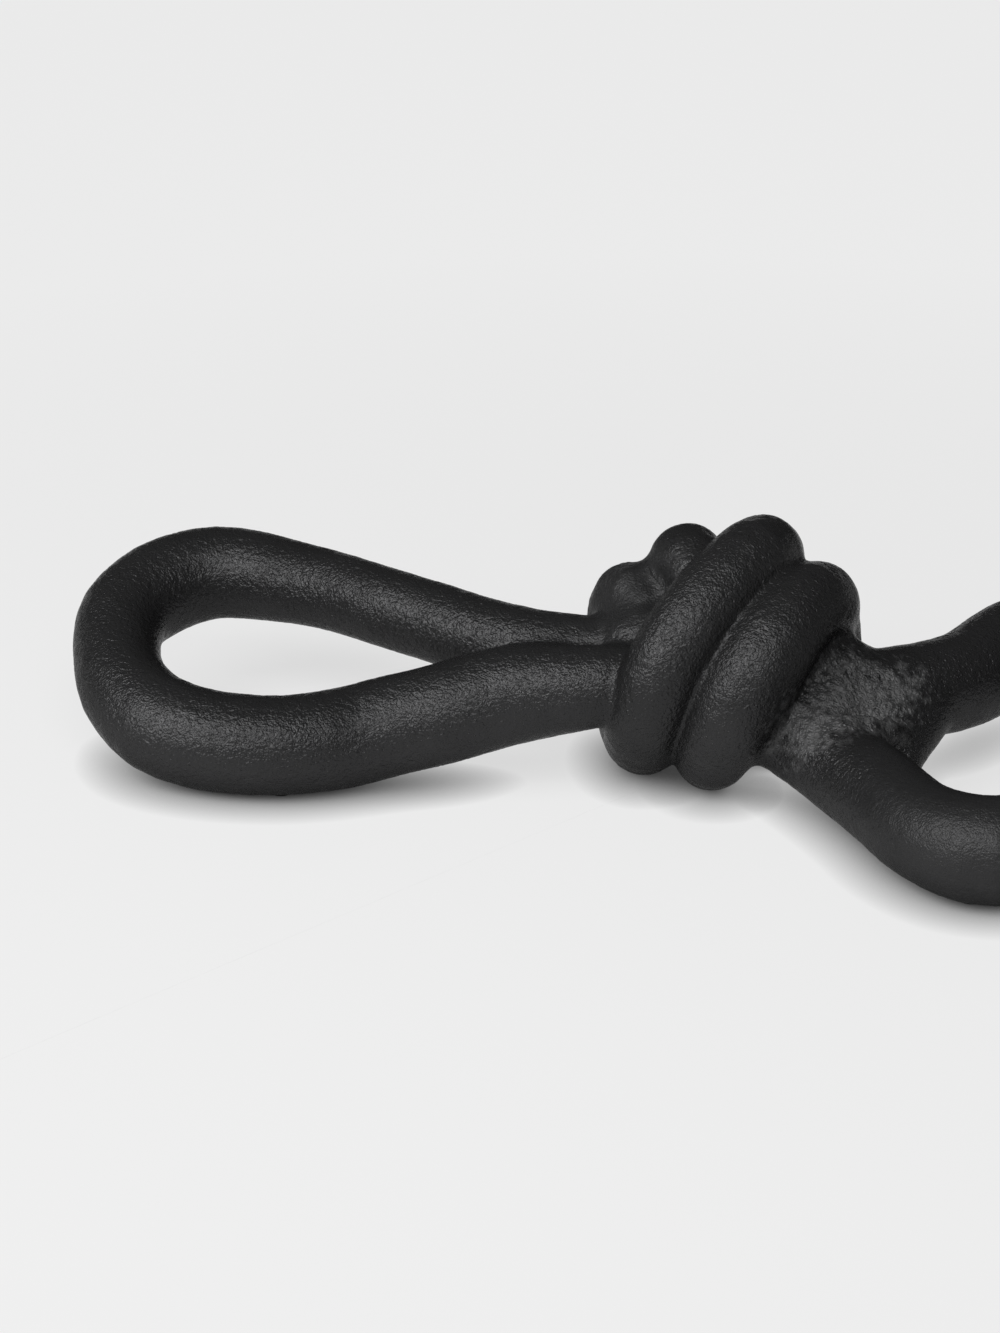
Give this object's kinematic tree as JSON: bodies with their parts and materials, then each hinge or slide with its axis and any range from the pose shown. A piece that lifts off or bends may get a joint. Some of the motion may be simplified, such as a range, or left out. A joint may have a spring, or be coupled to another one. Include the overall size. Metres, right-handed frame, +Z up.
{
  "type": "knot sculpture",
  "caption": "Cast metal knot sculpture: a thick doubled strand tied in an overhand knot with an open loop at each end, lying on small pads.",
  "frame": {"origin": "on the table, under the middle of the sculpture's outline seen from above", "axes": "+X along the sculpture from the left loop to the right loop, +Y away from the front, +Z up"},
  "size_m": [0.3578, 0.1938, 0.081],
  "materials": {
    "black_casting": "matte black coating over sand-cast aluminium, fine grain",
    "pad": "matte"
  },
  "bodies": {
    "root": {"left_loop": "black_casting", "left_neck": "black_casting", "first_turn": "black_casting", "first_tail": "black_casting", "second_turn": "black_casting", "second_tail": "black_casting", "knot_core": "black_casting", "right_neck": "black_casting", "right_loop": "black_casting", "foot_pads": "pad"}
  },
  "joints": []
}
